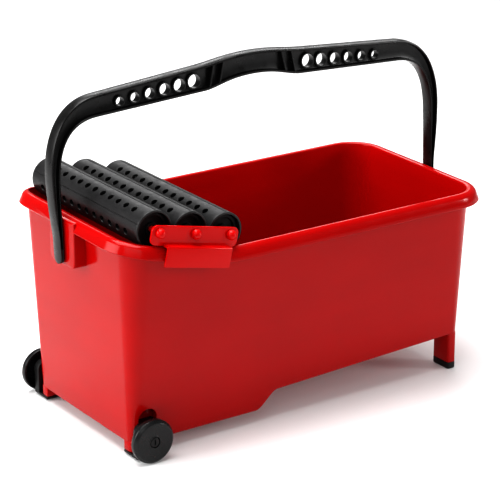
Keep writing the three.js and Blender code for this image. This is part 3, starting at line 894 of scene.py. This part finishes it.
def handle(material):
    half = handle_rings()
    mirrored = [[Vector((-p.x, p.y, p.z)) for p in ring] for ring in reversed(half[:-1])]
    piece = as_object(loft([*half, *mirrored]), "handle_moulded")
    for end in (-1, 1):
        combine(piece, "UNION", peg(end))
        for side in (NEAR, FAR):
            combine(piece, "UNION", *(handle_rib(high, low, end, side) for high, low in RIB_SLANTS))
        indices = range(BAR_HOLE["count"])
        collars = [around_bar_hole(i, end, COLLAR["grow"], COLLAR["half"]) for i in indices]
        holes = [around_bar_hole(i, end, -COLLAR["lip"], HANDLE_HALF) for i in indices]
        combine(piece, "UNION", *collars)
        combine(piece, "DIFFERENCE", *holes)
    hinge = Matrix.Translation((0, 0, HINGE_Z))
    piece.data.transform(hinge @ Matrix.Rotation(-HANDLE_LEAN, 4, "X") @ hinge.inverted())
    place_piece(piece, "handle", material, ["handle"])


# ---------------------------------------------------------------- materials

RED_GLOSS = 0.2
DARK_GLOSS = 0.36
ROLLER_GLOSS = 0.42


class Shader:
    """A Principled material whose procedural inputs are added one by one."""

    # Noise gathers about its middle; this part of it is spread over a roughness range.
    NOISE_LOW, NOISE_HIGH = 0.3, 0.7
    MIX_FIRST, MIX_SECOND, MIX_RESULT = 6, 7, 2

    def __init__(self, name, roughness, specular=0.5):
        self.material = bpy.data.materials.new(name)
        self.material.use_nodes = True
        self.nodes = self.material.node_tree.nodes
        self.links = self.material.node_tree.links
        self.surface = self.nodes["Principled BSDF"]
        self.surface.inputs["Roughness"].default_value = roughness
        self.surface.inputs["Specular IOR Level"].default_value = specular
        self.place = self.nodes.new("ShaderNodeTexCoord").outputs["Object"]

    def noise(self, scale, detail=3.0, stretch=(1, 1, 1)):
        mapping = self.nodes.new("ShaderNodeMapping")
        mapping.inputs["Scale"].default_value = stretch
        self.links.new(self.place, mapping.inputs["Vector"])
        noise = self.nodes.new("ShaderNodeTexNoise")
        noise.inputs["Scale"].default_value = scale
        noise.inputs["Detail"].default_value = detail
        self.links.new(mapping.outputs["Vector"], noise.inputs["Vector"])
        return noise.outputs["Fac"]

    def ramp(self, factor, stops):
        ramp = self.nodes.new("ShaderNodeValToRGB")
        while len(ramp.color_ramp.elements) < len(stops):
            ramp.color_ramp.elements.new(0.5)
        for element, (position, colour) in zip(ramp.color_ramp.elements, stops):
            element.position = position
            element.color = (*colour, 1.0)
        self.links.new(factor, ramp.inputs["Fac"])
        return ramp.outputs["Color"]

    def shades(self, factor, colour, stops):
        """A ramp through lighter and darker shades of one colour."""
        return self.ramp(factor, [(position, shade_of(colour, shade)) for position, shade in stops])

    def mix(self, factor, first, second):
        mix = self.nodes.new("ShaderNodeMix")
        mix.data_type = "RGBA"
        self.links.new(factor, mix.inputs["Factor"])
        self.links.new(first, mix.inputs[self.MIX_FIRST])
        self.links.new(second, mix.inputs[self.MIX_SECOND])
        return mix.outputs[self.MIX_RESULT]

    def colour(self, source):
        self.links.new(source, self.surface.inputs["Base Color"])

    def roughness(self, factor, low, high):
        spread = self.nodes.new("ShaderNodeMapRange")
        spread.inputs["From Min"].default_value = self.NOISE_LOW
        spread.inputs["From Max"].default_value = self.NOISE_HIGH
        spread.inputs["To Min"].default_value = low
        spread.inputs["To Max"].default_value = high
        self.links.new(factor, spread.inputs["Value"])
        self.links.new(spread.outputs["Result"], self.surface.inputs["Roughness"])

    def bump(self, height, strength, distance):
        bump = self.nodes.new("ShaderNodeBump")
        bump.inputs["Strength"].default_value = strength
        bump.inputs["Distance"].default_value = distance
        self.links.new(height, bump.inputs["Height"])
        before = self.surface.inputs["Normal"].links
        if before:
            self.links.new(before[0].from_socket, bump.inputs["Normal"])
        self.links.new(bump.outputs["Normal"], self.surface.inputs["Normal"])


def shade_of(colour, factor):
    return tuple(min(1.0, channel * factor) for channel in colour)


def red_plastic(name, red):
    """Glossy moulded plastic: slow colour drift, faint flow streaks and a very light orange peel."""
    shader = Shader(name, 0.2, RED_GLOSS)
    drift = shader.shades(shader.noise(7.0, 2.0), red, [(0.3, 0.9), (0.7, 1.08)])
    streaks = shader.shades(shader.noise(16.0, 4.0, (0.25, 0.25, 1.6)), red, [(0.35, 0.94), (0.7, 1.06)])
    shader.colour(shader.mix(shader.noise(3.0, 1.0), drift, streaks))
    shader.roughness(shader.noise(38.0, 5.0), 0.11, 0.2)
    shader.bump(shader.noise(24.0, 2.0), 0.25, 0.0006)
    shader.bump(shader.noise(700.0, 2.0), 0.12, 0.0001)
    return shader.material


def grained_plastic(name, colour, roughness, grain, grain_strength):
    """Dark moulded plastic: a fine sand grain and scuffs that are a little lighter."""
    shader = Shader(name, roughness, DARK_GLOSS)
    base = shader.shades(shader.noise(14.0, 3.0), colour, [(0.3, 0.82), (0.7, 1.15)])
    scuffed = shader.shades(shader.noise(55.0, 6.0), colour, [(0.3, 1.0), (0.72, 1.7)])
    where = shader.ramp(shader.noise(21.0, 5.0), [(0.52, (0, 0, 0)), (0.68, (1, 1, 1))])
    shader.colour(shader.mix(where, base, scuffed))
    shader.roughness(shader.noise(60.0, 4.0), roughness - 0.07, roughness + 0.08)
    shader.bump(shader.noise(grain, 3.0), grain_strength, 0.00015)
    return shader.material


def speckled_plastic():
    """The rollers' skin: matt dark grey with fine light and dark specks."""
    shader = Shader("roller_speckled_plastic", 0.45, ROLLER_GLOSS)
    grey = (0.012, 0.0117, 0.012)
    specks = [(0.32, 0.35), (0.48, 1.0), (0.56, 1.0), (0.7, 2.8)]
    fine = shader.shades(shader.noise(950.0, 2.0), grey, specks)
    broad = shader.shades(shader.noise(24.0, 4.0), grey, [(0.3, 0.75), (0.7, 1.3)])
    shader.colour(shader.mix(shader.noise(330.0, 2.0), fine, broad))
    shader.roughness(shader.noise(120.0, 4.0), 0.34, 0.5)
    shader.bump(shader.noise(820.0, 2.0), 0.3, 0.0002)
    return shader.material


def floor_material():
    shader = Shader("studio_floor", 0.75, 0.2)
    pale = shader.ramp(shader.noise(2.0, 2.0), [(0.3, (0.72, 0.72, 0.72)), (0.7, (0.75, 0.75, 0.75))])
    shader.colour(pale)
    shader.surface.inputs["Emission Color"].default_value = (1, 1, 1, 1)
    shader.surface.inputs["Emission Strength"].default_value = 0.06
    return shader.material


# ---------------------------------------------------------------- studio, metres and watts

FLOOR_REACH = 6.0
WORLD_STRENGTH = 0.22
CAMERA = {"target": (0.0985, 0.152, 0.1226), "azimuth": -34.3, "elevation": 20.0, "distance": 3.2}
LENS = {"length": 163.9, "sensor": 36.0}
SOFTBOXES = (
    {"name": "key_left", "position": (-2.2, 0.5, 1.0), "target": (-0.28, 0.0, 0.2),
     "size": (1.7, 1.3), "power": 12.5, "spread_degrees": 100.0},
    {"name": "overhead", "position": (-0.2, 0.3, 2.4), "target": (0.0, 0.1, 0.0),
     "size": (2.4, 1.8), "power": 84},
    {"name": "window_behind", "position": (1.2, 1.9, 1.3), "target": (0.0, 0.0, 0.25),
     "size": (1.4, 0.5), "power": 7},
    {"name": "sheen_front", "position": (-1.5, -1.7, 1.7), "target": (-0.1, -0.1, 0.25),
     "size": (2.0, 0.8), "power": 9},
    {"name": "fill_right", "position": (2.2, -1.7, 0.9), "target": (0.26, -0.14, 0.15),
     "size": (0.6, 0.6), "power": 19},
)


def studio_floor():
    mesh = bmesh.new()
    bmesh.ops.create_grid(mesh, x_segments=1, y_segments=1, size=FLOOR_REACH)
    data = bpy.data.meshes.new("floor")
    mesh.to_mesh(data)
    mesh.free()
    data.materials.append(floor_material())
    floor = bpy.data.objects.new("floor", data)
    bpy.context.scene.collection.objects.link(floor)


def softbox(name, position, target, size, power, spread_degrees=180.0):
    light = bpy.data.lights.new(name, "AREA")
    light.spread = math.radians(spread_degrees)
    light.shape = "RECTANGLE"
    light.size, light.size_y = size
    light.energy = power
    lamp = bpy.data.objects.new(name, light)
    lamp.location = position
    lamp.rotation_euler = (Vector(target) - Vector(position)).to_track_quat("-Z", "Y").to_euler()
    bpy.context.scene.collection.objects.link(lamp)


def studio_world():
    world = bpy.data.worlds.new("studio")
    world.use_nodes = True
    background = world.node_tree.nodes["Background"]
    background.inputs["Color"].default_value = (1, 1, 1, 1)
    background.inputs["Strength"].default_value = WORLD_STRENGTH
    bpy.context.scene.world = world


def studio_camera():
    """A long lens, above the wheel end's near corner, looking down at the object's middle."""
    azimuth, elevation = math.radians(CAMERA["azimuth"]), math.radians(CAMERA["elevation"])
    level = Vector((math.sin(azimuth), -math.cos(azimuth), 0.0))
    offset = level * math.cos(elevation) + Vector((0, 0, math.sin(elevation)))
    lens = bpy.data.cameras.new("camera")
    lens.lens = LENS["length"]
    lens.sensor_width = LENS["sensor"]
    camera = bpy.data.objects.new("camera", lens)
    camera.location = Vector(CAMERA["target"]) + offset * CAMERA["distance"]
    camera.rotation_euler = (-offset).to_track_quat("-Z", "Y").to_euler()
    bpy.context.scene.collection.objects.link(camera)
    bpy.context.scene.camera = camera


def build_studio():
    bpy.context.scene.view_settings.view_transform = "Standard"
    bpy.context.scene.view_settings.look = "High Contrast"
    studio_camera()
    studio_floor()
    studio_world()
    for lamp in SOFTBOXES:
        softbox(**lamp)


# ---------------------------------------------------------------- the object

def build_object():
    red = red_plastic("red_gloss_plastic", (0.37, 0.002, 0.002))
    # A lighter copy of the body's red plastic for the wringer plates and pins: painted light, standing in
    # for the extra light these parts catch.
    red_painted_lit = red_plastic("red_gloss_plastic_painted_lit", (0.52, 0.0025, 0.0025))
    # The roller end caps' black, darker than the other black plastic: real black plastic plus painted shade
    # for the deep recess in the tube ends.
    cap_black_with_painted_recess_shade = grained_plastic("black_plastic_with_painted_recess_shade", (0.0012, 0.0012, 0.0012), 0.6, 900.0, 0.3)
    charcoal = grained_plastic("handle_charcoal_plastic", (0.0065, 0.0062, 0.0062), 0.3, 900.0, 0.25)
    wheel_grey = grained_plastic("wheel_grey_plastic", (0.010, 0.0103, 0.0106), 0.26, 1100.0, 0.2)
    black = grained_plastic("black_plastic", (0.004, 0.004, 0.004), 0.4, 900.0, 0.3)
    rubber = grained_plastic("black_rubber", (0.005, 0.005, 0.005), 0.46, 700.0, 0.4)
    speckled = speckled_plastic()
    bucket(red)
    handle(charcoal)
    for side in (NEAR, FAR):
        foot_cap(side, rubber)
        axle_housing(side, black)
        axle_pin(side, black)
        wheel(side, wheel_grey)
        wringer_plate(side, red_painted_lit)
    for number in (1, 2, 3):
        roller_tube(number, speckled)
        for side in (NEAR, FAR):
            roller_cap(number, side, cap_black_with_painted_recess_shade)
            roller_pin(number, side, red_painted_lit)


build_studio()
build_object()
